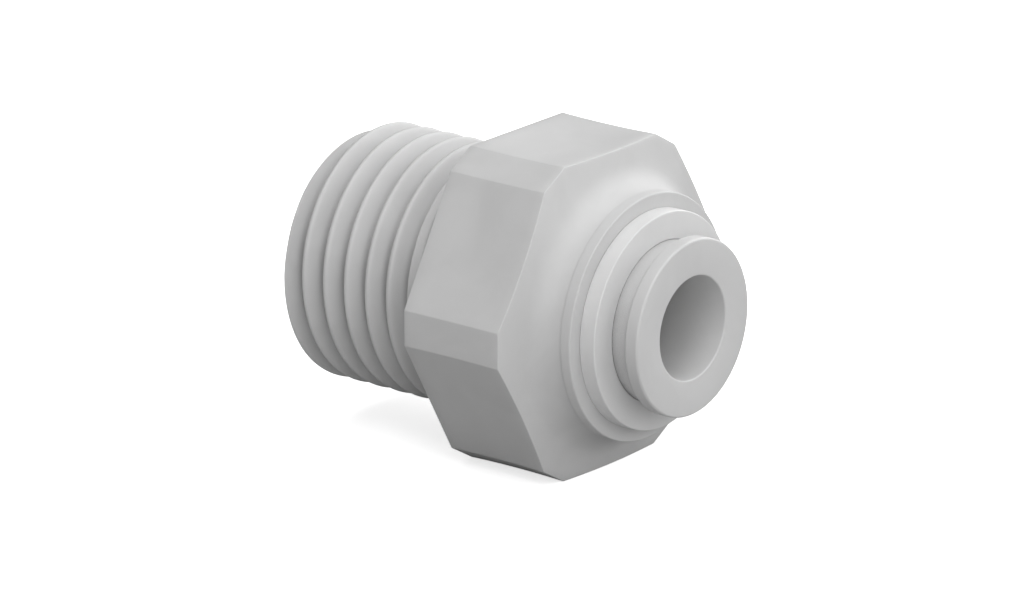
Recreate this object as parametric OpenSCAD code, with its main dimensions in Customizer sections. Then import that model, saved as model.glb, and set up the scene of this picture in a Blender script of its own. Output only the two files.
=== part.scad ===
// Male tube connector: a moulded push-in body with a parallel pipe thread and a hexagon.
// The axis lies along X. The tube goes in from +X, the thread points to -X, +Z is up.
// The origin is on the axis, in the shoulder face where the thread meets the hexagon.
// The connector lies on one flat of its hexagon.

/* [Thread] */
// Diameter over the thread crests
thread_od = 13.1; // [12.9:0.01:13.15]
// Diameter at the thread roots
thread_root_d = 11.26; // [11.2:0.01:11.6]
// Distance from one crest to the next
thread_pitch = 1.337; // [1.25:0.001:1.45]
// Half angle between the flanks of a groove
thread_flank_angle = 27.5; // [25:0.5:30]
// Length of the thread from the shoulder to its end
thread_len = 9.5; // [8:0.05:14]
// Length of plain shank left under the shoulder
thread_plain_len = 0.08; // [0.05:0.01:1.2]
// Width of the flat top of a crest
thread_crest_w = 0.25; // [0.15:0.01:0.35]
// Width of the flat top of the first crest, at the end of the thread
thread_end_crest_w = 0.05; // [0.03:0.01:0.4]
// Chamfer on the end of the thread
thread_end_chamfer = 0.1; // [0.05:0.01:0.3]

/* [Hexagon] */
// Hexagon size across its flats
hex_af = 16; // [15:0.5:20]
// Width of the flat strip that cuts each corner
hex_corner_w = 1.8; // [1:0.1:2.6]
// Length of the hexagon from the shoulder to its front corners
hex_len = 5.8; // [4.5:0.1:9]
// Slope of the front of the hexagon, up from square
flare_angle = 13; // [8:1:20]

/* [Nose] */
// Radius of the hollow between the hexagon and the nose
cove_r = 1.3; // [0.8:0.05:1.5]
// Wall around the cap at the neck of the nose
neck_wall = 1.05; // [0.8:0.05:1.3]
// Plain neck between the hollow and the lip
neck_len = 0.15; // [0.05:0.01:1]
// How far the lip stands out from the neck
lip_proud = 0.1; // [0.05:0.05:0.5]
// Length of the lip along the axis
lip_len = 0.6; // [0.4:0.05:1.2]
// Rounding of the front edge of the lip
lip_round = 0.15; // [0.1:0.05:0.35]

/* [Tube socket] */
// Outside diameter of the tube
tube_d = 5; // [4.8:0.1:6]
// Gap around the tube in the bottom of its socket
seat_gap = 0.05; // [0.03:0.01:0.1]
// Length of the socket beyond the seal
seat_len = 4.9; // [3.5:0.1:6]
// Thickness of the wall that the tube stops on
stop_wall = 1.5; // [1:0.1:2]
// Diameter of the hole through the stop wall
waterway_d = 3.5; // [2.5:0.1:4]
// Wall between the outlet and the thread roots
outlet_wall = 1.63; // [1.4:0.01:2.4]

/* [Seal and spacer] */
// Thickness of the round section of the seal
seal_section = 1.7; // [1.5:0.05:1.9]
// How much smaller the seal is than the tube, in radius
seal_grip = 0.15; // [0.05:0.01:0.2]
// Gap around the outside of the seal
seal_seat_gap = 0.02; // [0.01:0.01:0.05]
// Gap on each side of the seal along the axis
seal_side_gap = 0.15; // [0.05:0.01:0.3]
// Thickness of the spacer ring
spacer_t = 0.7; // [0.5:0.05:1]
// Gap around the spacer ring in its bore
spacer_gap = 0.05; // [0.02:0.01:0.1]

/* [Collet] */
// Gap around the tube in the collet
collet_bore_gap = 0.1; // [0.06:0.01:0.15]
// Wall of the collet at its neck
collet_wall = 1.4; // [1.2:0.05:1.6]
// How far the finger heads stand out from the neck
head_proud = 0.5; // [0.4:0.05:0.7]
// Length of the finger heads before their cone
head_len = 1.2; // [0.8:0.05:1.5]
// Angle of the gripping cone to the axis
cone_angle = 30; // [22:1:45]
// Length of the slots between the fingers
finger_slot_len = 2.2; // [1.6:0.1:3.2]
// Width of the slots between the fingers
finger_slot_w = 0.6; // [0.4:0.05:0.8]
// Turn of the collet about its axis
finger_turn = 22; // [0:1:90]
// How far the flange stands out from the neck
flange_proud = 0.45; // [0.3:0.05:0.8]
// Thickness of the flange
flange_t = 0.75; // [0.5:0.05:1.2]
// Rounding of the front edge of the flange
flange_round = 0.15; // [0.05:0.05:0.3]
// Rounding of the back edge of the flange
flange_back_round = 0.1; // [0.05:0.05:0.15]
// Chamfer on the mouth of the collet
mouth_chamfer = 0.1; // [0.05:0.05:0.3]
// How far the collet is pushed in to free the tube
release_travel = 1; // [0.6:0.05:1.3]
// Gap left between flange and cap when the collet is pushed in
stop_gap = 0.05; // [0.02:0.01:0.1]
// Gap left behind the fingers when the collet is pushed in
finger_end_gap = 0.3; // [0.2:0.05:0.6]

/* [Grip teeth] */
// Thickness of a tooth along the axis
tooth_t = 0.3; // [0.2:0.05:0.35]
// How far a tooth reaches inside the tube's outside diameter, in radius
tooth_bite = 0.12; // [0.05:0.01:0.15]
// Depth of the tooth's root in the finger
tooth_root = 0.7; // [0.5:0.05:0.75]
// Lean of a tooth towards the inside of the connector
tooth_lean = 35; // [25:1:45]
// Distance of the tooth's tip from the end of the finger
tooth_setback = 0.3; // [0.2:0.05:0.35]
// Part of the circle that one tooth covers
tooth_arc = 56; // [40:1:64]

/* [Retaining cap] */
// Wall of the cap around the finger heads
cap_wall = 0.45; // [0.4:0.05:0.6]
// Gap between the cap and the finger heads
head_gap = 0.1; // [0.06:0.01:0.15]
// Gap between the cap's throat and the neck of the collet
throat_gap = 0.05; // [0.03:0.01:0.1]
// Length of the throat
throat_len = 1.45; // [1.1:0.05:2]
// Width of the ledge of the rim that sits on the nose
rim_ledge = 0.4; // [0.3:0.05:0.75]
// Thickness of the rim
rim_t = 0.9; // [0.7:0.05:1.4]
// Rounding of the front edge of the rim
rim_round = 0.12; // [0.1:0.01:0.3]
// Depth of the countersunk mouth of the cap
throat_mouth_depth = 0.12; // [0.08:0.02:0.4]
// Width of the countersunk mouth of the cap
throat_mouth_w = 0.12; // [0.08:0.02:0.4]

/* [Hidden] */

$fn = 96;
finger_count = 4;
finger_pitch = 360 / finger_count;
// How far a cutting shape runs past the surface that it cuts
over = 1;
moulded_grey = [0.78, 0.78, 0.78];
collet_grey = [0.74, 0.74, 0.75];
steel = [0.62, 0.63, 0.65];
seal_black = [0.12, 0.12, 0.12];
spacer_white = [0.88, 0.88, 0.86];

// Radii from the tube outwards
tube_r = tube_d / 2;
seat_r = tube_r + seat_gap;
waterway_r = waterway_d / 2;
collet_bore_r = tube_r + collet_bore_gap;
collet_neck_r = collet_bore_r + collet_wall;
head_r = collet_neck_r + head_proud;
flange_r = collet_neck_r + flange_proud;
throat_r = collet_neck_r + throat_gap;
chamber_r = head_r + head_gap;
spigot_r = chamber_r + cap_wall;
rim_r = spigot_r + rim_ledge;
neck_r = spigot_r + neck_wall;
lip_r = neck_r + lip_proud;
seal_inner_r = tube_r - seal_grip;
seal_centre_r = seal_inner_r + seal_section / 2;
seal_bore_r = seal_inner_r + seal_section + seal_seat_gap;
spacer_outer_r = spigot_r - spacer_gap;

// Thread
thread_r = thread_od / 2;
thread_root_r = thread_root_d / 2;
outlet_r = thread_root_r - outlet_wall;
flank_run = (thread_r - thread_root_r) * tan(thread_flank_angle);
root_w = thread_pitch - thread_crest_w - 2 * flank_run;
first_groove_x = thread_end_chamfer + thread_end_crest_w + flank_run + root_w / 2;
last_groove_x = thread_len - thread_plain_len - flank_run - root_w / 2;
groove_count = floor((last_groove_x - first_groove_x) / thread_pitch) + 1;

// Hexagon with its corners cut by flat strips
strip_dist = hex_af / sqrt(3) - hex_corner_w / 2 / tan(60);
corner_r = sqrt(pow(strip_dist, 2) + pow(hex_corner_w / 2, 2));

// Places along the axis, from the shoulder towards the tube end
cove_start_r = neck_r + cove_r * (1 - sin(flare_angle));
cove_start_x = hex_len + (corner_r - cove_start_r) * tan(flare_angle);
cove_end_x = cove_start_x + cove_r * cos(flare_angle);
cove_corner_x = cove_start_x + (cove_start_r - neck_r) * tan(flare_angle);
nose_face_x = cove_end_x + neck_len + lip_len;
cap_face_x = nose_face_x + rim_t;
flange_back_x = cap_face_x + release_travel + stop_gap;
flange_front_x = flange_back_x + flange_t;
throat_mouth_x = cap_face_x - throat_mouth_depth;
cone_end_x = throat_mouth_x - throat_len;
cone_start_x = cone_end_x - (chamber_r - throat_r) / tan(cone_angle);
finger_end_x = cone_start_x - head_len;
cap_end_x = finger_end_x - release_travel - finger_end_gap;
spacer_seat_x = cap_end_x - spacer_t;
seal_floor_x = spacer_seat_x - seal_section - 2 * seal_side_gap;
seal_centre_x = (seal_floor_x + spacer_seat_x) / 2;
tube_stop_x = seal_floor_x - seat_len;
outlet_floor_x = tube_stop_x - stop_wall;
finger_slot_end_x = finger_end_x + finger_slot_len;

// Turns a half section about the X axis: its x is the radius, its y the place along X
module spin(sweep = 360) {
    rotate([0, 90, 0])
        rotate_extrude(angle = sweep)
            children();
}

// Half section of a plain disc or bore
module disc_section(r, x0, x1) {
    translate([0, x0])
        square([r, x1 - x0]);
}

// Half section of a disc with round edges at its front and its back
module rounded_section(r, x0, x1, front, back) {
    disc_section(r, x0 + back, x1 - front);
    disc_section(r - back, x0, x1 - front);
    disc_section(r - front, x0 + back, x1);
    translate([r - front, x1 - front])
        circle(front);
    if (back > 0)
        translate([r - back, x0 + back])
            circle(back);
}

// Half section of one groove of the thread, cut past the crest
module groove_section() {
    crest_w = thread_pitch - thread_crest_w;
    past = over * tan(thread_flank_angle);
    polygon([
        [thread_root_r, -root_w / 2],
        [thread_root_r, root_w / 2],
        [thread_r + over, crest_w / 2 + past],
        [thread_r + over, -crest_w / 2 - past]
    ]);
}

// Half section of the threaded shank
module thread_section() {
    difference() {
        polygon([
            [0, -thread_len],
            [thread_r - thread_end_chamfer, -thread_len],
            [thread_r, -thread_len + thread_end_chamfer],
            [thread_r, 0],
            [0, 0]
        ]);
        for (i = [0 : groove_count - 1])
            translate([0, -thread_len + first_groove_x + i * thread_pitch])
                groove_section();
    }
}

// Half section of the hexagon's front, the hollow and the nose
module front_section() {
    outer_r = corner_r + over;
    polygon([
        [0, 0],
        [outer_r, 0],
        [outer_r, hex_len - over * tan(flare_angle)],
        [cove_start_r, cove_start_x],
        [neck_r, cove_corner_x],
        [neck_r, nose_face_x - lip_round],
        [0, nose_face_x - lip_round]
    ]);
    difference() {
        polygon([
            [neck_r, cove_corner_x],
            [cove_start_r, cove_start_x],
            [neck_r + cove_r, cove_end_x],
            [neck_r, cove_end_x]
        ]);
        translate([neck_r + cove_r, cove_end_x])
            circle(cove_r);
    }
    rounded_section(lip_r, nose_face_x - lip_len, nose_face_x, lip_round, 0);
}

// Outline of the hexagon with its corners cut, one flat facing down
module hex_outline() {
    rotate(30)
        intersection() {
            circle(r = hex_af / sqrt(3), $fn = 6);
            rotate(30)
                circle(r = strip_dist / cos(30), $fn = 6);
        }
}

// Half section of everything that is open inside the body
module body_hollow_section() {
    disc_section(outlet_r, -thread_len - over, outlet_floor_x);
    disc_section(waterway_r, outlet_floor_x - over, tube_stop_x + over);
    disc_section(seat_r, tube_stop_x, seal_floor_x + over);
    disc_section(seal_bore_r, seal_floor_x, spacer_seat_x + over);
    disc_section(spigot_r, spacer_seat_x, nose_face_x + over);
}

// One moulding: thread, hexagon, nose and stepped bore
module body() {
    color(moulded_grey)
        difference() {
            union() {
                spin() thread_section();
                intersection() {
                    rotate([0, 90, 0])
                        linear_extrude(nose_face_x)
                            hex_outline();
                    spin() front_section();
                }
            }
            spin() body_hollow_section();
        }
}

// Rubber ring that seals on the tube
module tube_seal() {
    color(seal_black)
        spin()
            translate([seal_centre_r, seal_centre_x])
                circle(seal_section / 2);
}

// Ring that keeps the seal in its seat, held by the cap
module spacer_ring() {
    color(spacer_white)
        spin()
            difference() {
                disc_section(spacer_outer_r, spacer_seat_x, cap_end_x);
                disc_section(collet_bore_r, spacer_seat_x - over, cap_end_x + over);
            }
}

// Cap pressed into the nose: its cone squeezes the fingers onto the tube
module retaining_cap() {
    color(moulded_grey)
        spin()
            difference() {
                union() {
                    disc_section(spigot_r, cap_end_x, cap_face_x - rim_round);
                    rounded_section(rim_r, nose_face_x, cap_face_x, rim_round, 0);
                }
                disc_section(chamber_r, cap_end_x - over, cone_start_x);
                disc_section(throat_r, cap_end_x - over, cap_face_x + over);
                polygon([
                    [0, cone_start_x],
                    [chamber_r, cone_start_x],
                    [throat_r, cone_end_x],
                    [0, cone_end_x]
                ]);
                polygon([
                    [0, throat_mouth_x],
                    [throat_r, throat_mouth_x],
                    [throat_r + throat_mouth_w, cap_face_x],
                    [throat_r + throat_mouth_w, cap_face_x + over],
                    [0, cap_face_x + over]
                ]);
            }
}

// Half section of a grip tooth, leaning inwards from its root to its tip
module tooth_section() {
    tip_r = tube_r - tooth_bite;
    root_r = collet_bore_r + tooth_root;
    tip_x = finger_end_x + tooth_setback;
    root_x = tip_x + (root_r - tip_r) * tan(tooth_lean);
    polygon([
        [tip_r, tip_x],
        [root_r, root_x],
        [root_r, root_x + tooth_t],
        [tip_r, tip_x + tooth_t]
    ]);
}

// Steel tooth number n, moulded into its finger
module grip_tooth(n) {
    color(steel)
        rotate([finger_turn + (n - 0.5) * finger_pitch - tooth_arc / 2, 0, 0])
            spin(tooth_arc)
                tooth_section();
}

// Collet: flange to press on, neck, and slotted fingers with heads
module collet() {
    color(collet_grey)
        difference() {
            spin()
                difference() {
                    union() {
                        disc_section(collet_neck_r, finger_end_x, flange_front_x - flange_round);
                        rounded_section(flange_r, flange_back_x, flange_front_x, flange_round, flange_back_round);
                        polygon([
                            [0, finger_end_x],
                            [head_r, finger_end_x],
                            [head_r, cone_start_x],
                            [collet_neck_r, cone_start_x + head_proud / tan(cone_angle)],
                            [0, cone_start_x + head_proud / tan(cone_angle)]
                        ]);
                    }
                    disc_section(collet_bore_r, finger_end_x - over, flange_front_x + over);
                    polygon([
                        [0, flange_front_x - mouth_chamfer],
                        [collet_bore_r, flange_front_x - mouth_chamfer],
                        [collet_bore_r + mouth_chamfer, flange_front_x],
                        [collet_bore_r + mouth_chamfer, flange_front_x + over],
                        [0, flange_front_x + over]
                    ]);
                }
            for (i = [0 : finger_count - 1])
                rotate([finger_turn + i * finger_pitch, 0, 0])
                    translate([finger_end_x - over, -finger_slot_w / 2, 0])
                        cube([finger_slot_len + over, finger_slot_w, head_r + over]);
            for (n = [1 : finger_count])
                grip_tooth(n);
        }
}

body();
tube_seal();
spacer_ring();
retaining_cap();
collet();
grip_tooth(1);  // grip_tooth_1
grip_tooth(2);  // grip_tooth_2
grip_tooth(3);  // grip_tooth_3
grip_tooth(4);  // grip_tooth_4
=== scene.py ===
"""Dressed model of a male tube connector: a moulded push-in body with a pipe thread and a hexagon.

Shapes are modelled in millimetres along X, the thread towards -X and the tube end towards +X, and are
scaled to metres when each piece is finished. The origin is on the axis, in the shoulder face.
"""
import logging
from dataclasses import dataclass, field
from enum import Enum
from math import atan2, cos, degrees, floor, hypot, pi, radians, sin, sqrt, tan
from typing import Iterable, Sequence

import bpy
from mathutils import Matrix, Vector


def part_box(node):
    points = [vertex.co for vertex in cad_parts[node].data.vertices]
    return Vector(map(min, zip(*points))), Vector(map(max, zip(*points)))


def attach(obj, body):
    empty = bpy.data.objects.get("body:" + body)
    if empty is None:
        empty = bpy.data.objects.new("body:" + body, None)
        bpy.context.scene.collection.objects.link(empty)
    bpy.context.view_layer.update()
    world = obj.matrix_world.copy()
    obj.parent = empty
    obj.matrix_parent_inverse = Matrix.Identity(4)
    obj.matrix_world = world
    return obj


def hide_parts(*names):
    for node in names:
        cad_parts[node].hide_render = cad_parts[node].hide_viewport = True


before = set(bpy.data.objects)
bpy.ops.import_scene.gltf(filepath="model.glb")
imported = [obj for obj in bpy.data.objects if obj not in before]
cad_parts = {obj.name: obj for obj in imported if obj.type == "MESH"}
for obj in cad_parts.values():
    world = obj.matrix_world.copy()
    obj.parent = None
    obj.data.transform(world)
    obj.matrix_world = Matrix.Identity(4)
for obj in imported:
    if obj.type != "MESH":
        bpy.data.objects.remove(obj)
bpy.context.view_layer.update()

log = logging.getLogger("tube_connector")

Colour = tuple[float, float, float, float]

MM = 0.001
# Two places closer than this are one place, in mm and in degrees.
SAME_PLACE = 0.0001
SAME_ANGLE = 0.1
# Points of a turned piece that lie closer than this are joined, in mm.
WELD = 0.0005
# Degrees from one corner of the hexagon to the next.
CORNER_STEP = 60
FITTING = "fitting"
RELEASE = "release_collet"


class Grain(Enum):
    """How coarse the surface is that the steel mould gave a plastic piece: bump spacing and height, in mm."""

    ERODED = (0.09, 0.0030)
    STONED = (0.06, 0.0016)
    POLISHED = (0.05, 0.0007)


@dataclass(frozen=True)
class Corner:
    """A corner of a turned outline: place along the axis, distance from the axis, and rounding, in mm."""

    x: float
    r: float
    rounding: float = 0.0


def cad_ends(node: str) -> tuple[float, float]:
    """Gives the two ends of a CAD node along the axis, in mm.

    Args:
        node: Name of the CAD node.

    Returns:
        Its lowest and its highest place along X.
    """
    low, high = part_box(node)
    return low[0] / MM, high[0] / MM


THREAD_END, NOSE_FACE = cad_ends("body")
CAP_INNER_END, CAP_FACE = cad_ends("retaining_cap")
FINGER_END, FLANGE_FACE = cad_ends("collet")
SPACER_SEAT = cad_ends("spacer_ring")[0]


def linear(hex_colour: str) -> Colour:
    """Turns an sRGB hex colour into linear red, green, blue and alpha.

    Args:
        hex_colour: Six hex digits, with or without a leading hash.

    Returns:
        The linear colour, with alpha 1.
    """
    digits = hex_colour.lstrip("#")
    channels = []
    for start in (0, 2, 4):
        value = int(digits[start:start + 2], 16) / 255
        channels.append(value / 12.92 if value <= 0.04045 else ((value + 0.055) / 1.055) ** 2.4)
    return (channels[0], channels[1], channels[2], 1.0)


def add_node(
        tree: bpy.types.NodeTree, kind: str, settings: dict | None = None,
        links: dict | None = None) -> bpy.types.Node:
    """Adds one shader node, with its settings and what is linked into it.

    Args:
        tree: Node tree that takes the node.
        kind: Blender's name for the node type.
        settings: Values by input name or, where no input has that name, by the node's own property.
        links: Output sockets by the name or number of the input that each one feeds.

    Returns:
        The new node.
    """
    node = tree.nodes.new(kind)
    for name, value in (settings or {}).items():
        if isinstance(name, int) or name in node.inputs:
            node.inputs[name].default_value = value
        else:
            setattr(node, name, value)
    for name, source in (links or {}).items():
        tree.links.new(source, node.inputs[name])
    return node


def add_noise(
        tree: bpy.types.NodeTree, place: bpy.types.NodeSocket, size_mm: float, detail: float,
        roughness: float = 0.5, distortion: float = 0.0) -> bpy.types.NodeSocket:
    """Adds a cloudy pattern to a material.

    Args:
        tree: Node tree that takes the pattern.
        place: Where on the piece the pattern is looked up.
        size_mm: Size of the largest clouds, in mm.
        detail: How many finer layers of clouds there are.
        roughness: How strong the finer layers are.
        distortion: How much the clouds are drawn out of shape.

    Returns:
        The pattern, from 0 to 1.
    """
    scale = 1 / (size_mm * MM)
    settings = {"Scale": scale, "Detail": detail, "Roughness": roughness, "Distortion": distortion}
    return add_node(tree, "ShaderNodeTexNoise", settings, {"Vector": place}).outputs["Fac"]


def add_range(
        tree: bpy.types.NodeTree, value: bpy.types.NodeSocket, span: tuple[float, float],
        low: float | bpy.types.NodeSocket, high: float = 1.0) -> bpy.types.NodeSocket:
    """Stretches one span of values onto another, and holds the values past its ends.

    Args:
        tree: Node tree that takes the node.
        value: What is stretched.
        span: Lowest and highest value of the span.
        low: What the span's lowest value becomes, as a number or as an output socket.
        high: What its highest value becomes.

    Returns:
        The stretched value.
    """
    settings = {"From Min": span[0], "From Max": span[1], "To Max": high}
    links = {"Value": value}
    if isinstance(low, float):
        settings["To Min"] = low
    else:
        links["To Min"] = low
    return add_node(tree, "ShaderNodeMapRange", settings, links).outputs["Result"]


def add_relief(
        tree: bpy.types.NodeTree, pattern: bpy.types.NodeSocket, height_mm: float,
        under: bpy.types.NodeSocket | None = None, strength: float = 1.0) -> bpy.types.NodeSocket:
    """Raises a pattern a little out of the surface.

    Args:
        tree: Node tree that takes the node.
        pattern: The pattern, from 0 to 1.
        height_mm: Height of the pattern's top, in mm.
        under: A wider relief that this one lies on.
        strength: Share of the relief that shows.

    Returns:
        The direction that the surface faces.
    """
    links = {"Height": pattern}
    if under is not None:
        links["Normal"] = under
    settings = {"Strength": strength, "Distance": height_mm * MM}
    return add_node(tree, "ShaderNodeBump", settings, links).outputs["Normal"]


def add_surface(tree: bpy.types.NodeTree, settings: dict, links: dict) -> None:
    """Adds the surface shader and gives it to the material.

    Args:
        tree: Node tree of the material.
        settings: The shader's constant values by input name.
        links: Output sockets by the name of the input that each one feeds.
    """
    shader = add_node(tree, "ShaderNodeBsdfPrincipled", settings, links)
    add_node(tree, "ShaderNodeOutputMaterial", {}, {"Surface": shader.outputs["BSDF"]})


def new_material(name: str) -> tuple[bpy.types.Material, bpy.types.NodeTree]:
    """Makes an empty node material.

    Args:
        name: Name of the real material.

    Returns:
        The material and its cleared node tree.
    """
    material = bpy.data.materials.new(name)
    material.use_nodes = True
    material.node_tree.nodes.clear()
    return material, material.node_tree


def ramp_colours(node: bpy.types.Node, stops: Sequence[tuple[float, Colour]]) -> None:
    """Sets the stops of a colour ramp.

    Args:
        node: The colour ramp node.
        stops: Place and colour of each stop, lowest first.
    """
    elements = node.color_ramp.elements
    while len(elements) < len(stops):
        elements.new(1.0)
    for element, (place, colour) in zip(elements, stops):
        element.position = place
        element.color = colour


@dataclass(frozen=True)
class MouldedAcetal:
    """Acetal (POM), injection moulded: a dense, waxy grey plastic.

    The eye sees an even, chalky grey with a broad soft highlight. The mould's surface gives a fine grain, the
    flow of the melt leaves faint cloudy streaks, and slight shrinking makes wide faces a touch uneven.
    Painted shade darkens the colour in narrow places, in the roots of the thread and round the collet's neck,
    and less of it is painted towards the top. This reads as dark lines there.
    """

    name: str
    colour: str
    cloud_colour: str
    roughness: float
    grain: Grain
    ior: float = 1.48
    glow: float = 0.06
    glow_radius_mm: float = 0.35
    glow_tint: tuple[float, float, float] = (1.0, 0.95, 0.9)
    cloud_mm: float = 3.5
    cloud_edges: tuple[float, float] = (0.32, 0.68)
    gloss_edges: tuple[float, float] = (0.3, 0.7)
    gloss_spread: tuple[float, float] = (-0.05, 0.06)
    shrink_mm: float = 2.4
    shrink_height_mm: float = 0.008
    # Painted shade in narrow places: how dark it gets, how far the occlusion looks, its occlusion span,
    # samples, where along X it ends and fades, and the heights over which it lessens upwards.
    crevice_shade_darkness: float = 0.52
    crevice_shade_reach_mm: float = 0.6
    crevice_shade_openness: tuple[float, float] = (0.35, 0.64)
    crevice_shade_samples: int = 8
    crevice_shade_end_mm: float = 0.0
    crevice_shade_fade_mm: float = 0.2
    crevice_shade_heights_mm: tuple[float, float] = (1.0, 6.0)

    def painted_crevice_shade(self, tree: bpy.types.NodeTree, place: bpy.types.NodeSocket) -> bpy.types.NodeSocket:
        """Says how much of its colour the plastic keeps under the painted shade in narrow places, which
        lessens towards the top and stops past a place along the axis.

        Args:
            tree: Node tree of the material.
            place: Where on the piece the material is looked up.

        Returns:
            The share of the colour that shows, 1 where no shade is painted.
        """
        # Painted shade: the colour darkens where ambient occlusion finds narrow places, less higher up, and
        # only up to a place along X.
        where = add_node(tree, "ShaderNodeSeparateXYZ", {}, {"Vector": place})
        low, high = self.crevice_shade_heights_mm
        shade_by_height = add_range(tree, where.outputs["Z"], (low * MM, high * MM), 1 - self.crevice_shade_darkness)
        edge = ((self.crevice_shade_end_mm - self.crevice_shade_fade_mm) * MM, self.crevice_shade_end_mm * MM)
        shade_limit = add_range(tree, where.outputs["X"], edge, shade_by_height)
        settings = {"samples": self.crevice_shade_samples, "Distance": self.crevice_shade_reach_mm * MM}
        openness = add_node(tree, "ShaderNodeAmbientOcclusion", settings).outputs["AO"]
        return add_range(tree, openness, self.crevice_shade_openness, shade_limit)

    def material(self) -> bpy.types.Material:
        """Builds the node material.

        Returns:
            The material.
        """
        material, tree = new_material(self.name)
        place = add_node(tree, "ShaderNodeTexCoord").outputs["Object"]
        clouds = add_noise(tree, place, self.cloud_mm, detail=4.0, roughness=0.55, distortion=0.6)
        tint = add_node(tree, "ShaderNodeValToRGB", {}, {"Fac": clouds}).outputs["Color"]
        shades = (linear(self.cloud_colour), linear(self.colour))
        ramp_colours(tint.node, tuple(zip(self.cloud_edges, shades)))
        # The tint is darkened by the painted shade in narrow places.
        shaded_tint = add_node(
            tree, "ShaderNodeVectorMath", {"operation": "SCALE"}, {0: tint, "Scale": self.painted_crevice_shade(tree, place)})
        smooth, rough = (self.roughness + change for change in self.gloss_spread)
        gloss = add_range(tree, clouds, self.gloss_edges, smooth, rough)
        spacing, height = self.grain.value
        wide = add_relief(tree, add_noise(tree, place, self.shrink_mm, detail=1.0), self.shrink_height_mm)
        fine = add_relief(tree, add_noise(tree, place, spacing, detail=2.0), height, wide)
        add_surface(
            tree,
            {"IOR": self.ior, "Metallic": 0.0, "Subsurface Weight": self.glow,
             "Subsurface Scale": self.glow_radius_mm * MM, "Subsurface Radius": self.glow_tint},
            {"Base Color": shaded_tint.outputs["Vector"], "Roughness": gloss, "Normal": fine})
        return material


@dataclass(frozen=True)
class StampedStainless:
    """Stainless steel strip, rolled and stamped: bright, with fine straight rolling lines along one way."""

    name: str = "stamped stainless strip"
    colour: str = "#C3C6CB"
    roughness: float = 0.28
    gloss_spread: tuple[float, float] = (-0.08, 0.1)
    line_mm: float = 0.05
    line_height_mm: float = 0.0012
    line_stretch: tuple[float, float, float] = (1.0, 0.06, 0.06)

    def material(self) -> bpy.types.Material:
        """Builds the node material.

        Returns:
            The material.
        """
        material, tree = new_material(self.name)
        place = add_node(tree, "ShaderNodeTexCoord").outputs["Object"]
        along = add_node(tree, "ShaderNodeMapping", {"Scale": self.line_stretch}, {"Vector": place})
        lines = add_noise(tree, along.outputs["Vector"], self.line_mm, detail=3.0)
        smooth, rough = (self.roughness + change for change in self.gloss_spread)
        add_surface(
            tree, {"Base Color": linear(self.colour), "Metallic": 1.0},
            {"Roughness": add_range(tree, lines, (0.0, 1.0), smooth, rough),
             "Normal": add_relief(tree, lines, self.line_height_mm)})
        return material


@dataclass(frozen=True)
class NitrileRubber:
    """Nitrile rubber, pressed in a mould: black, matt, under a thin uneven film of assembly grease."""

    name: str = "nitrile rubber with grease film"
    colour: str = "#161616"
    roughness: float = 0.62
    gloss_spread: tuple[float, float] = (-0.2, 0.15)
    ior: float = 1.52
    grease: float = 0.35
    grease_roughness: float = 0.2
    patch_mm: float = 0.9
    patch_height_mm: float = 0.004
    patch_strength: float = 0.6

    def material(self) -> bpy.types.Material:
        """Builds the node material.

        Returns:
            The material.
        """
        material, tree = new_material(self.name)
        place = add_node(tree, "ShaderNodeTexCoord").outputs["Object"]
        patches = add_noise(tree, place, self.patch_mm, detail=3.0)
        smooth, rough = (self.roughness + change for change in self.gloss_spread)
        add_surface(
            tree,
            {"Base Color": linear(self.colour), "IOR": self.ior, "Coat Weight": self.grease,
             "Coat Roughness": self.grease_roughness},
            {"Roughness": add_range(tree, patches, (0.0, 1.0), smooth, rough),
             "Normal": add_relief(tree, patches, self.patch_height_mm, strength=self.patch_strength)})
        return material


def select_only(piece: bpy.types.Object) -> None:
    """Deselects everything, then selects one piece and makes it active.

    Args:
        piece: The piece.
    """
    bpy.ops.object.select_all(action="DESELECT")
    piece.select_set(True)
    bpy.context.view_layer.objects.active = piece


def rounded_outline(corners: Sequence[Corner], arc_steps: int = 5) -> list[Vector]:
    """Turns a closed outline's corners into points, with an arc at each rounded corner.

    Args:
        corners: Corners in order round the outline.
        arc_steps: Straight steps in each arc.

    Returns:
        Points (x, r) in order round the outline.
    """
    points: list[Vector] = []
    for number, corner in enumerate(corners):
        here = Vector((corner.x, corner.r))
        if corner.rounding == 0.0:
            points.append(here)
            continue
        before, after = corners[number - 1], corners[(number + 1) % len(corners)]
        back = (Vector((before.x, before.r)) - here).normalized()
        onward = (Vector((after.x, after.r)) - here).normalized()
        half = back.angle(onward) / 2
        centre = here + (back + onward).normalized() * corner.rounding / sin(half)
        spoke = here + back * corner.rounding / tan(half) - centre
        last = here + onward * corner.rounding / tan(half) - centre
        sweep = spoke.angle(last) * (1 if spoke.x * last.y - spoke.y * last.x > 0 else -1)
        for step in range(arc_steps + 1):
            turn = sweep * step / arc_steps
            along = spoke.x * cos(turn) - spoke.y * sin(turn)
            outwards = spoke.x * sin(turn) + spoke.y * cos(turn)
            points.append(centre + Vector((along, outwards)))
    return points


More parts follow.
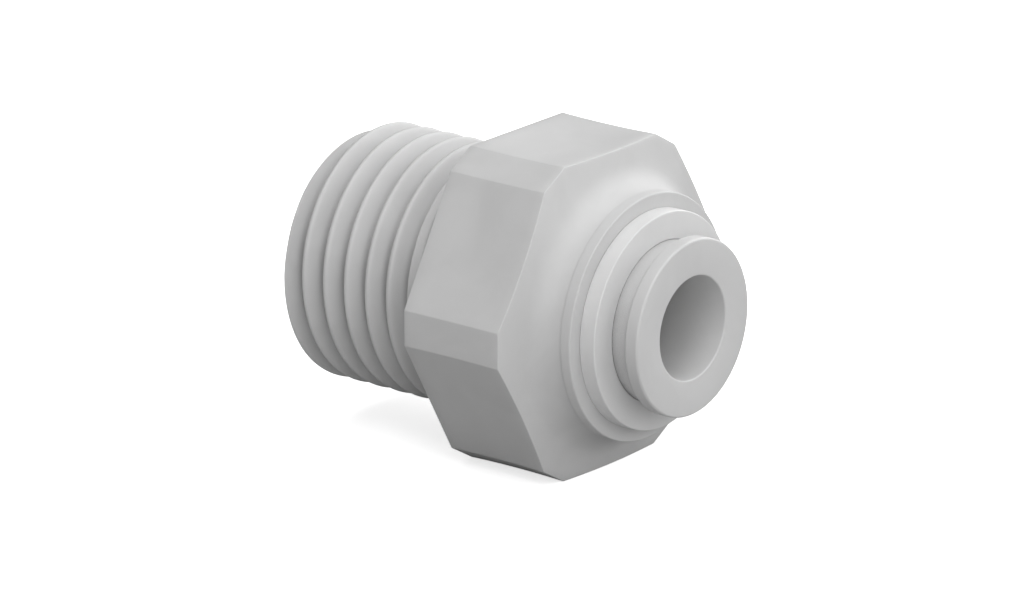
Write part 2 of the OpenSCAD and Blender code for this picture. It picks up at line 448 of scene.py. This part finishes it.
def turn_piece(name: str, outline: Sequence[Vector], steps: int) -> bpy.types.Object:
    """Turns a closed outline about the X axis, in mm.

    Args:
        name: Name of the piece.
        outline: Points (x, r) round the section, in order.
        steps: Steps in the full turn.

    Returns:
        The turned piece, a closed ring of quads facing outwards.
    """
    bpy.ops.object.select_all(action="DESELECT")
    bpy.ops.mesh.primitive_circle_add(vertices=len(outline), radius=1.0, location=(0.0, 0.0, 0.0))
    piece = bpy.context.active_object
    piece.name = piece.data.name = name
    for vertex, point in zip(piece.data.vertices, outline):
        vertex.co = (point.x, 0.0, point.y)
    bpy.ops.object.mode_set(mode="EDIT")
    bpy.ops.mesh.select_all(action="SELECT")
    bpy.ops.mesh.spin(steps=steps, angle=2 * pi, center=(0.0, 0.0, 0.0), axis=(1.0, 0.0, 0.0))
    bpy.ops.mesh.select_all(action="SELECT")
    bpy.ops.mesh.remove_doubles(threshold=WELD)
    bpy.ops.mesh.normals_make_consistent(inside=False)
    bpy.ops.object.mode_set(mode="OBJECT")
    return piece


def bevel_edges(piece: bpy.types.Object, chosen: Iterable[int], width: float, segments: int) -> None:
    """Rounds chosen edges of a piece.

    Args:
        piece: The piece, still in mm.
        chosen: Numbers of the edges.
        width: Distance of the rounding's start from the edge, in mm.
        segments: Strips across the rounding.
    """
    select_only(piece)
    bpy.ops.object.mode_set(mode="EDIT")
    bpy.ops.mesh.select_mode(type="EDGE")
    bpy.ops.mesh.select_all(action="DESELECT")
    bpy.ops.object.mode_set(mode="OBJECT")
    for number in chosen:
        piece.data.edges[number].select = True
    bpy.ops.object.mode_set(mode="EDIT")
    bpy.ops.mesh.bevel(
        offset_type="OFFSET", offset=width, segments=segments, profile=0.5, affect="EDGES",
        clamp_overlap=True)
    bpy.ops.object.mode_set(mode="OBJECT")


def finish_piece(piece: bpy.types.Object, material: bpy.types.Material, smooth_deg: float = 40.0) -> None:
    """Scales a piece from mm to metres, smooths its faces and gives it its material.

    Args:
        piece: The modelled piece.
        material: Its material.
        smooth_deg: Edges that bend more than this stay sharp.
    """
    select_only(piece)
    piece.scale = (MM, MM, MM)
    bpy.ops.object.transform_apply(location=True, rotation=True, scale=True)
    bpy.ops.object.shade_smooth_by_angle(angle=radians(smooth_deg))
    piece.data.materials.clear()
    piece.data.materials.append(material)


def dress_node(node: str, material: bpy.types.Material) -> None:
    """Gives a CAD node that stays in the scene its material.

    Args:
        node: Name of the CAD node.
        material: The material.
    """
    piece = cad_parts[node]
    if not piece.material_slots:
        piece.data.materials.append(material)
    for place in piece.material_slots:
        place.material = material
    log.info("dressed %s in %s", node, material.name)


def report(piece: bpy.types.Object) -> None:
    """Logs a finished piece's name and size."""
    sides = [round(side / MM, 2) for side in piece.dimensions]
    log.info("built %s: %d vertices, %s mm", piece.name, len(piece.data.vertices), sides)


@dataclass
class PipeThread:
    """Right-handed parallel pipe thread, with the flanks of its standard and narrow roots. Sizes in mm."""

    crest_r: float = 6.55
    depth: float = 0.92
    pitch: float = 1.337
    length: float = -THREAD_END
    flank_deg: float = 27.5
    root_w: float = 0.129
    root_softness: float = 0.08
    crest_softness: float = 0.23
    row_step: float = 0.045
    first_groove: float = -0.176
    end_rounding: float = 0.12
    fade_start: float = -1.9
    fade_end: float = -1.2
    fade_drop: float = 0.3

    def rows(self) -> list[Corner]:
        """Gives the rows of the blank from the thread's end to the shoulder."""
        count = round(self.length / self.row_step)
        return [Corner(-self.length + self.length * row / count, self.crest_r) for row in range(count + 1)]

    def form(self, offset: float) -> float:
        """Gives the radius at a distance from the middle of a groove.

        Args:
            offset: Distance along the axis from the groove's middle, up to half a pitch.

        Returns:
            Radius in mm.
        """
        rise = (abs(offset) - self.root_w / 2) / tan(radians(self.flank_deg))
        above_root = self.soft_top(-rise, 0.0, self.root_softness)
        return self.crest_r - self.depth + self.soft_top(-above_root, self.depth, self.crest_softness)

    @staticmethod
    def soft_top(height: float, top: float, softness: float) -> float:
        """Gives the lower of a height and a top, rounded where they meet.

        Args:
            height: The height that runs into the top.
            top: The height of the top.
            softness: Difference of the two over which they run into each other.

        Returns:
            The rounded lower height.
        """
        near = max(0.0, softness - abs(height - top)) / softness
        return min(height, top) - near * near * softness / 4

    def radius(self, x: float, angle_deg: float) -> float:
        """Gives the radius of the finished thread at a place on the shank.

        Args:
            x: Place along the axis.
            angle_deg: Angle about the axis from +Y towards +Z.

        Returns:
            Radius in mm.
        """
        turns = (x - self.first_groove) / self.pitch - angle_deg / 360
        radius = self.form((turns - floor(turns + 0.5)) * self.pitch)
        inset = max(0.0, self.end_rounding - (x + self.length))
        end_r = self.crest_r - self.end_rounding + sqrt(max(0.0, self.end_rounding ** 2 - inset ** 2))
        fade = min(1.0, max(0.0, (x - self.fade_start) / (self.fade_end - self.fade_start)))
        faded_r = self.crest_r - self.fade_drop * fade * fade * (3 - 2 * fade)
        return min(radius, end_r, faded_r)


@dataclass
class MouldedBody:
    """The one moulding: thread, hexagon with cut corners, flared front, nose and bore. Sizes in mm."""

    thread: PipeThread = field(default_factory=PipeThread)
    across_flats: float = 16.0
    corner_strip: float = 1.8
    hex_len: float = 5.8
    side_rows: int = 11
    shoulder_rows: tuple[float, ...] = (6.9, 7.4, 7.75)
    flare_deg: float = 13.0
    flare_rows: int = 4
    cove_r: float = 1.3
    neck_r: float = 6.1
    neck_round: float = 0.03
    lip_r: float = 6.2
    lip_len: float = 0.6
    lip_back_round: float = 0.06
    lip_round: float = 0.08
    cap_seat_r: float = 5.06
    cap_seat_round: float = 0.05
    seal_r: float = 4.07
    seal_room: float = 2.0
    seal_mouth_round: float = 0.08
    seal_floor_round: float = 0.1
    tube_r: float = 2.55
    tube_seat_len: float = 4.9
    tube_mouth_round: float = 0.12
    tube_stop_round: float = 0.15
    waterway_r: float = 1.75
    waterway_len: float = 1.5
    waterway_round: float = 0.1
    outlet_r: float = 4.0
    outlet_floor_round: float = 0.35
    outlet_mouth_round: float = 0.15
    sink: float = 0.12
    sink_at_strip: float = 0.45
    edge_round: float = 0.04
    edge_strips: int = 3
    steps: int = 240
    strip_steps: int = 4

    def __post_init__(self) -> None:
        """Works out the hexagon's derived sizes."""
        self.strip_dist = self.across_flats / sqrt(3) - self.corner_strip / 2 / tan(radians(CORNER_STEP))
        self.corner_r = hypot(self.strip_dist, self.corner_strip / 2)
        self.strip_half_deg = degrees(atan2(self.corner_strip / 2, self.strip_dist))
        self.blank_half_deg = self.strip_steps * 360 / self.steps
        self.cove_start_r = self.neck_r + self.cove_r * (1 - sin(radians(self.flare_deg)))

    def outline(self) -> list[Vector]:
        """Gives the section of the turned blank.

        Returns:
            Points (x, r) round the section, in order.
        """
        thread_end = -self.thread.length
        lip_back = NOSE_FACE - self.lip_len
        seal_floor = SPACER_SEAT - self.seal_room
        tube_stop = seal_floor - self.tube_seat_len
        outlet_floor = tube_stop - self.waterway_len
        side_step = self.hex_len / self.side_rows
        flare_step = (self.corner_r - self.cove_start_r) / (self.flare_rows + 1)
        flare = [self.corner_r - flare_step * (row + 1) for row in range(self.flare_rows)]
        corners = self.thread.rows()
        corners += [Corner(0.0, radius) for radius in self.shoulder_rows]
        corners += [Corner(side_step * row, self.corner_r) for row in range(self.side_rows + 1)]
        corners += [Corner(self.flare_x(radius), radius) for radius in flare]
        corners += [
            Corner(self.flare_x(self.neck_r), self.neck_r, self.cove_r),
            Corner(lip_back, self.neck_r, self.neck_round),
            Corner(lip_back, self.lip_r, self.lip_back_round),
            Corner(NOSE_FACE, self.lip_r, self.lip_round),
            Corner(NOSE_FACE, self.cap_seat_r, self.cap_seat_round),
            Corner(SPACER_SEAT, self.cap_seat_r, self.cap_seat_round),
            Corner(SPACER_SEAT, self.seal_r, self.seal_mouth_round),
            Corner(seal_floor, self.seal_r, self.seal_floor_round),
            Corner(seal_floor, self.tube_r, self.tube_mouth_round),
            Corner(tube_stop, self.tube_r, self.tube_stop_round),
            Corner(tube_stop, self.waterway_r, self.waterway_round),
            Corner(outlet_floor, self.waterway_r, self.waterway_round),
            Corner(outlet_floor, self.outlet_r, self.outlet_floor_round),
            Corner(thread_end, self.outlet_r, self.outlet_mouth_round),
            Corner(thread_end, (self.outlet_r + self.thread.crest_r) / 2)]
        return rounded_outline(corners, arc_steps=6)

    def flare_x(self, radius: float) -> float:
        """Gives the place along the axis of the flared front at a radius."""
        return self.hex_len + (self.corner_r - radius) * tan(radians(self.flare_deg))

    def off_corner(self, angle_deg: float) -> float:
        """Gives the angle from the nearest corner's middle, up to half a corner step to either side."""
        return (angle_deg + CORNER_STEP / 2) % CORNER_STEP - CORNER_STEP / 2

    def true_angle(self, angle_deg: float) -> float:
        """Moves a row's angle so that rows run exactly along the edges of the corner strips.

        Args:
            angle_deg: Angle of the row on the turned blank.

        Returns:
            Angle of the row on the moulding.
        """
        off = self.off_corner(angle_deg)
        if abs(off) <= self.blank_half_deg:
            moved = off * self.strip_half_deg / self.blank_half_deg
        else:
            share = (abs(off) - self.blank_half_deg) / (CORNER_STEP / 2 - self.blank_half_deg)
            moved = self.strip_half_deg + share * (CORNER_STEP / 2 - self.strip_half_deg)
            moved *= 1 if off > 0 else -1
        return angle_deg - off + moved

    def side_radius(self, along: float, angle_deg: float) -> float:
        """Gives the hexagon's radius, with its flats sunk a little in the middle as thick mouldings are.

        Args:
            along: Place along the hexagon, from 0 at the shoulder to 1 at its front edge.
            angle_deg: Angle about the axis.

        Returns:
            Radius in mm.
        """
        off = abs(self.off_corner(angle_deg))
        if off <= self.strip_half_deg:
            radius = self.strip_dist / cos(radians(off))
            across = 0.0
        else:
            radius = self.across_flats / 2 / cos(radians(CORNER_STEP / 2 - off))
            across = (off - self.strip_half_deg) / (CORNER_STEP / 2 - self.strip_half_deg)
        share = self.sink_at_strip + (1 - self.sink_at_strip) * across * (2 - across)
        return radius - self.sink * share * 4 * along * (1 - along)

    def press(self, x: float, radius: float, angle_deg: float) -> tuple[float, float]:
        """Says where a point of the turned blank lies on the moulding.

        Args:
            x: Place along the axis.
            radius: Radius on the blank.
            angle_deg: Angle about the axis on the moulding.

        Returns:
            Place along the axis and radius on the moulding.
        """
        if x < SAME_PLACE and abs(radius - self.thread.crest_r) < SAME_PLACE:
            return x, self.thread.radius(x, angle_deg)
        edge_r = self.side_radius(1.0, angle_deg)
        if -SAME_PLACE < x < self.hex_len + SAME_PLACE and radius > self.corner_r - SAME_PLACE:
            along = min(1.0, max(0.0, x / self.hex_len))
            return along * self.flare_x(edge_r), self.side_radius(along, angle_deg)
        on_flare = x > self.hex_len and abs(x - self.flare_x(radius)) < SAME_PLACE
        if on_flare and self.cove_start_r < radius < self.corner_r:
            share = (self.corner_r - radius) / (self.corner_r - self.cove_start_r)
            pressed_r = edge_r + (self.cove_start_r - edge_r) * share
            return self.flare_x(pressed_r), pressed_r
        return x, radius

    def build(self, material: bpy.types.Material) -> bpy.types.Object:
        """Models the body and stands it in for its CAD node.

        Args:
            material: Finish of the moulding.

        Returns:
            The finished body.
        """
        piece = turn_piece("moulded_body", self.outline(), self.steps)
        mesh = piece.data
        places = [vertex.co.copy() for vertex in mesh.vertices]
        blank = [(place.x, hypot(place.y, place.z), degrees(atan2(place.z, place.y))) for place in places]
        ends = [[blank[end] for end in edge.vertices] for edge in mesh.edges]
        sharp = [number for number, (one, other) in enumerate(ends) if self.is_hex_edge(one, other)]
        for vertex, (x, radius, angle_deg) in zip(mesh.vertices, blank):
            true_deg = self.true_angle(angle_deg)
            x, radius = self.press(x, radius, true_deg)
            vertex.co = (x, radius * cos(radians(true_deg)), radius * sin(radians(true_deg)))
        bevel_edges(piece, sharp, self.edge_round, self.edge_strips)
        finish_piece(piece, material)
        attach(piece, FITTING)
        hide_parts("body")
        return piece

    def is_hex_edge(self, one: tuple[float, float, float], other: tuple[float, float, float]) -> bool:
        """Tells whether an edge of the blank becomes one of the hexagon's edges.

        Args:
            one: Place, radius and angle of one end.
            other: The same of the other end.

        Returns:
            True for the hexagon's rims and the long edges of its corner strips.
        """
        below_corners = min(one[1], other[1]) < self.corner_r - SAME_PLACE
        past_front = max(one[0], other[0]) > self.hex_len + SAME_PLACE
        if below_corners or past_front:
            return False
        if abs(one[0] - other[0]) < SAME_PLACE:
            return one[0] < SAME_PLACE or one[0] > self.hex_len - SAME_PLACE
        return abs(abs(self.off_corner(one[2])) - self.blank_half_deg) < SAME_ANGLE


@dataclass
class RetainingCap:
    """Ring pressed into the nose, whose cone squeezes the collet's fingers. Sizes in mm."""

    spigot_r: float = 5.05
    spigot_round: float = 0.12
    rim_r: float = 5.45
    rim_back_round: float = 0.06
    rim_round: float = 0.07
    throat_r: float = 4.035
    throat_len: float = 1.57
    mouth_round: float = 0.06
    cone_len: float = 0.952
    cone_round: float = 0.15
    chamber_r: float = 4.6
    chamber_round: float = 0.05
    steps: int = 192

    def build(self, material: bpy.types.Material) -> bpy.types.Object:
        """Models the cap and stands it in for its CAD node.

        Args:
            material: Finish of the cap.

        Returns:
            The finished cap.
        """
        cone_end = CAP_FACE - self.throat_len
        corners = [
            Corner(CAP_INNER_END, self.chamber_r, self.chamber_round),
            Corner(CAP_INNER_END, self.spigot_r, self.spigot_round),
            Corner(NOSE_FACE, self.spigot_r),
            Corner(NOSE_FACE, self.rim_r, self.rim_back_round),
            Corner(CAP_FACE, self.rim_r, self.rim_round),
            Corner(CAP_FACE, self.throat_r, self.mouth_round),
            Corner(cone_end, self.throat_r, self.cone_round),
            Corner(cone_end - self.cone_len, self.chamber_r, self.cone_round)]
        piece = turn_piece("pressed_in_cap", rounded_outline(corners), self.steps)
        finish_piece(piece, material)
        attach(piece, FITTING)
        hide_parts("retaining_cap")
        return piece


@dataclass
class ReleaseCollet:
    """Collet with a flange to press on, a neck, and four sprung fingers parted by slots. Sizes in mm."""

    bore_r: float = 2.6
    bore_end_round: float = 0.08
    head_r: float = 4.5
    head_len: float = 1.2
    head_end_round: float = 0.15
    head_round: float = 0.1
    cone_len: float = 0.866
    cone_round: float = 0.2
    neck_r: float = 4.028
    neck_round: float = 0.12
    flange_r: float = 4.45
    flange_t: float = 0.75
    flange_back_round: float = 0.1
    flange_round: float = 0.12
    mouth_round: float = 0.08
    slot_len: float = 2.2
    slot_w: float = 0.6
    finger_count: int = 4
    first_slot_deg: float = 112.0
    blade_spare: float = 1.0
    steps: int = 192

    def slot_cutter(self) -> bpy.types.Object:
        """Models the blades that part the fingers, as one cutting shape.

        Returns:
            The blades, joined.
        """
        start, end = FINGER_END - self.blade_spare, FINGER_END + self.slot_len
        inside, outside = self.bore_r - self.blade_spare / 2, self.head_r + self.blade_spare
        reach = (inside + outside) / 2
        blades = []
        for number in range(self.finger_count):
            angle = radians(self.first_slot_deg + 360 * number / self.finger_count)
            bpy.ops.object.select_all(action="DESELECT")
            bpy.ops.mesh.primitive_cube_add(
                size=1.0, location=((start + end) / 2, reach * cos(angle), reach * sin(angle)),
                rotation=(angle, 0.0, 0.0), scale=(end - start, outside - inside, self.slot_w))
            blades.append(bpy.context.active_object)
        bpy.ops.object.select_all(action="DESELECT")
        for blade in blades:
            blade.select_set(True)
        bpy.context.view_layer.objects.active = blades[0]
        bpy.ops.object.join()
        return bpy.context.active_object

    def build(self, material: bpy.types.Material) -> bpy.types.Object:
        """Models the collet and stands it in for its CAD node.

        Args:
            material: Finish of the collet.

        Returns:
            The finished collet.
        """
        cone_start = FINGER_END + self.head_len
        flange_back = FLANGE_FACE - self.flange_t
        corners = [
            Corner(FINGER_END, self.bore_r, self.bore_end_round),
            Corner(FINGER_END, self.head_r, self.head_end_round),
            Corner(cone_start, self.head_r, self.head_round),
            Corner(cone_start + self.cone_len, self.neck_r, self.cone_round),
            Corner(flange_back, self.neck_r, self.neck_round),
            Corner(flange_back, self.flange_r, self.flange_back_round),
            Corner(FLANGE_FACE, self.flange_r, self.flange_round),
            Corner(FLANGE_FACE, self.bore_r, self.mouth_round)]
        piece = turn_piece("push_collet", rounded_outline(corners), self.steps)
        cutter = self.slot_cutter()
        select_only(piece)
        slots = piece.modifiers.new("finger_slots", "BOOLEAN")
        slots.operation = "DIFFERENCE"
        slots.solver = "EXACT"
        slots.object = cutter
        bpy.ops.object.modifier_apply(modifier=slots.name)
        bpy.data.objects.remove(cutter, do_unlink=True)
        finish_piece(piece, material)
        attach(piece, RELEASE)
        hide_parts("collet")
        return piece


@dataclass
class HiddenParts:
    """The CAD nodes inside the bore, which keep their shapes and get their finishes."""

    teeth: int = 4

    def dress(
            self, steel: bpy.types.Material, rubber: bpy.types.Material,
            natural: bpy.types.Material) -> None:
        """Dresses the teeth, the seal and the spacer ring.

        Args:
            steel: Finish of the teeth.
            rubber: Finish of the seal.
            natural: Finish of the spacer ring.
        """
        for number in range(self.teeth):
            dress_node(f"grip_tooth_{number + 1}", steel)
        dress_node("tube_seal", rubber)
        dress_node("spacer_ring", natural)


@dataclass(frozen=True)
class Lamp:
    """One softbox: its direction from the object, and its light there, where 1 makes white look white."""

    name: str
    direction: tuple[float, float, float]
    strength: float


@dataclass
class Studio:
    """Pale floor, soft lamps and the camera at the photograph's viewing angle. Lengths in mm."""

    azimuth_deg: float = 38.67
    elevation_deg: float = 18.22
    distance: float = 357.0
    lens_mm: float = 255.3
    sensor_mm: float = 36.0
    nearest_seen: float = 10.0
    aim_right: float = -0.234
    aim_up: float = -0.816
    floor_z: float = -8.0
    floor_size: float = 6000.0
    floor_colour: str = "#FCFCFC"
    floor_lit: str = "#A0A0A0"
    floor_own_light: float = 0.64
    room_colour: str = "#FFFFFF"
    room_light: float = 0.03
    backdrop_light: float = 1.0
    lamp_distance: float = 1000.0
    lamp_size: float = 1200.0
    lamps: tuple[Lamp, ...] = (
        Lamp("overhead softbox", (0.0, -0.12, 0.99), 0.66),
        Lamp("rear softbox", (0.0, 1.0, 0.3), 0.95),
        Lamp("softbox by the camera", (0.6, -0.75, 0.31), 0.75),
        Lamp("softbox behind the tube end", (0.8, 0.55, 0.3), 0.42),
        Lamp("softbox above the tube end", (0.6, -0.1, 0.8), 0.2))

    def directions(self) -> tuple[Vector, Vector, Vector]:
        """Gives the camera's directions.

        Returns:
            Its right, its up and its backward direction.
        """
        around, rise = radians(self.azimuth_deg), radians(self.elevation_deg)
        right = Vector((cos(around), sin(around), 0.0))
        back = Vector((sin(around) * cos(rise), -cos(around) * cos(rise), sin(rise)))
        return right, back.cross(right), back

    def place_camera(self) -> None:
        """Puts the camera where the photograph was taken from."""
        right, up, back = self.directions()
        target = (right * self.aim_right + up * self.aim_up) * MM
        bpy.ops.object.camera_add(location=target + back * self.distance * MM)
        camera = bpy.context.active_object
        camera.rotation_euler = back.to_track_quat("Z", "Y").to_euler()
        camera.data.lens = self.lens_mm
        camera.data.sensor_width = self.sensor_mm
        camera.data.clip_start = self.nearest_seen * MM
        bpy.context.scene.camera = camera

    def lay_floor(self) -> None:
        """Lays the floor.

        To the camera it is white paper with a little light of its own, so that only shadows close to the
        object show. To the object it is plain grey paper.
        """
        bpy.ops.object.select_all(action="DESELECT")
        bpy.ops.mesh.primitive_plane_add(size=self.floor_size * MM, location=(0.0, 0.0, self.floor_z * MM))
        floor_piece = bpy.context.active_object
        floor_piece.name = "studio_floor"
        material, tree = new_material("matt paper floor")
        seen = add_node(tree, "ShaderNodeLightPath").outputs["Is Camera Ray"]
        grey = add_node(tree, "ShaderNodeBsdfDiffuse", {"Color": linear(self.floor_lit)})
        white = add_node(tree, "ShaderNodeBsdfDiffuse", {"Color": linear(self.floor_colour)})
        glow = add_node(tree, "ShaderNodeEmission", {"Strength": self.floor_own_light})
        paper = add_node(tree, "ShaderNodeAddShader", {}, {0: glow.outputs[0], 1: white.outputs[0]})
        shader = add_node(tree, "ShaderNodeMixShader", {}, {0: seen, 1: grey.outputs[0], 2: paper.outputs[0]})
        add_node(tree, "ShaderNodeOutputMaterial", {}, {"Surface": shader.outputs[0]})
        floor_piece.data.materials.append(material)

    def hang_lamp(self, lamp: Lamp) -> None:
        """Hangs one square softbox that faces the object.

        Args:
            lamp: The softbox.
        """
        towards = Vector(lamp.direction).normalized()
        bpy.ops.object.light_add(type="AREA", location=towards * self.lamp_distance * MM)
        softbox = bpy.context.active_object
        softbox.name = lamp.name
        softbox.rotation_euler = towards.to_track_quat("Z", "Y").to_euler()
        softbox.data.shape = "SQUARE"
        softbox.data.size = self.lamp_size * MM
        softbox.data.energy = lamp.strength * (pi * self.lamp_distance * MM) ** 2

    def light(self) -> None:
        """Lights the object with the softboxes, and very softly from all round."""
        world = bpy.data.worlds.new("soft room")
        world.use_nodes = True
        tree = world.node_tree
        tree.nodes.clear()
        white = linear(self.room_colour)
        seen = add_node(tree, "ShaderNodeLightPath").outputs["Is Camera Ray"]
        room = add_node(tree, "ShaderNodeBackground", {"Color": white, "Strength": self.room_light})
        backdrop = add_node(tree, "ShaderNodeBackground", {"Color": white, "Strength": self.backdrop_light})
        choice = {0: seen, 1: room.outputs[0], 2: backdrop.outputs[0]}
        mixed = add_node(tree, "ShaderNodeMixShader", {}, choice)
        add_node(tree, "ShaderNodeOutputWorld", {}, {"Surface": mixed.outputs[0]})
        bpy.context.scene.world = world
        for lamp in self.lamps:
            self.hang_lamp(lamp)

    def set_up(self) -> None:
        """Makes the floor, the lamps and the camera, and sets how the picture is shown."""
        self.lay_floor()
        self.light()
        self.place_camera()
        bpy.context.scene.view_settings.view_transform = "Standard"


def main() -> None:
    """Builds every piece and the studio."""
    logging.basicConfig(level=logging.INFO, format="%(name)s: %(message)s")
    body_acetal = MouldedAcetal("grey acetal, eroded mould", "#D0D0D0", "#CACACA", 0.5, Grain.ERODED)
    # The cap's grey is lighter than the body's: painted light that makes up for the shade the collet's flange
    # casts on the cap's face.
    cap_acetal = MouldedAcetal("grey acetal, stoned mould", "#E0E0E0", "#DBDBDB", 0.44, Grain.STONED)
    # The collet's painted shade in narrow places looks further and covers the whole collet; the body's lies
    # on the thread only.
    collet_acetal = MouldedAcetal(
        "grey acetal, polished mould", "#D3D3D3", "#CECECE", 0.4, Grain.POLISHED,
        crevice_shade_reach_mm=1.5, crevice_shade_end_mm=12.0)
    natural_acetal = MouldedAcetal("natural acetal", "#E4E2DC", "#DEDCD5", 0.42, Grain.STONED, glow=0.2)
    report(MouldedBody().build(body_acetal.material()))
    report(RetainingCap().build(cap_acetal.material()))
    report(ReleaseCollet().build(collet_acetal.material()))
    HiddenParts().dress(StampedStainless().material(), NitrileRubber().material(), natural_acetal.material())
    Studio().set_up()


if __name__ == "__main__":
    main()
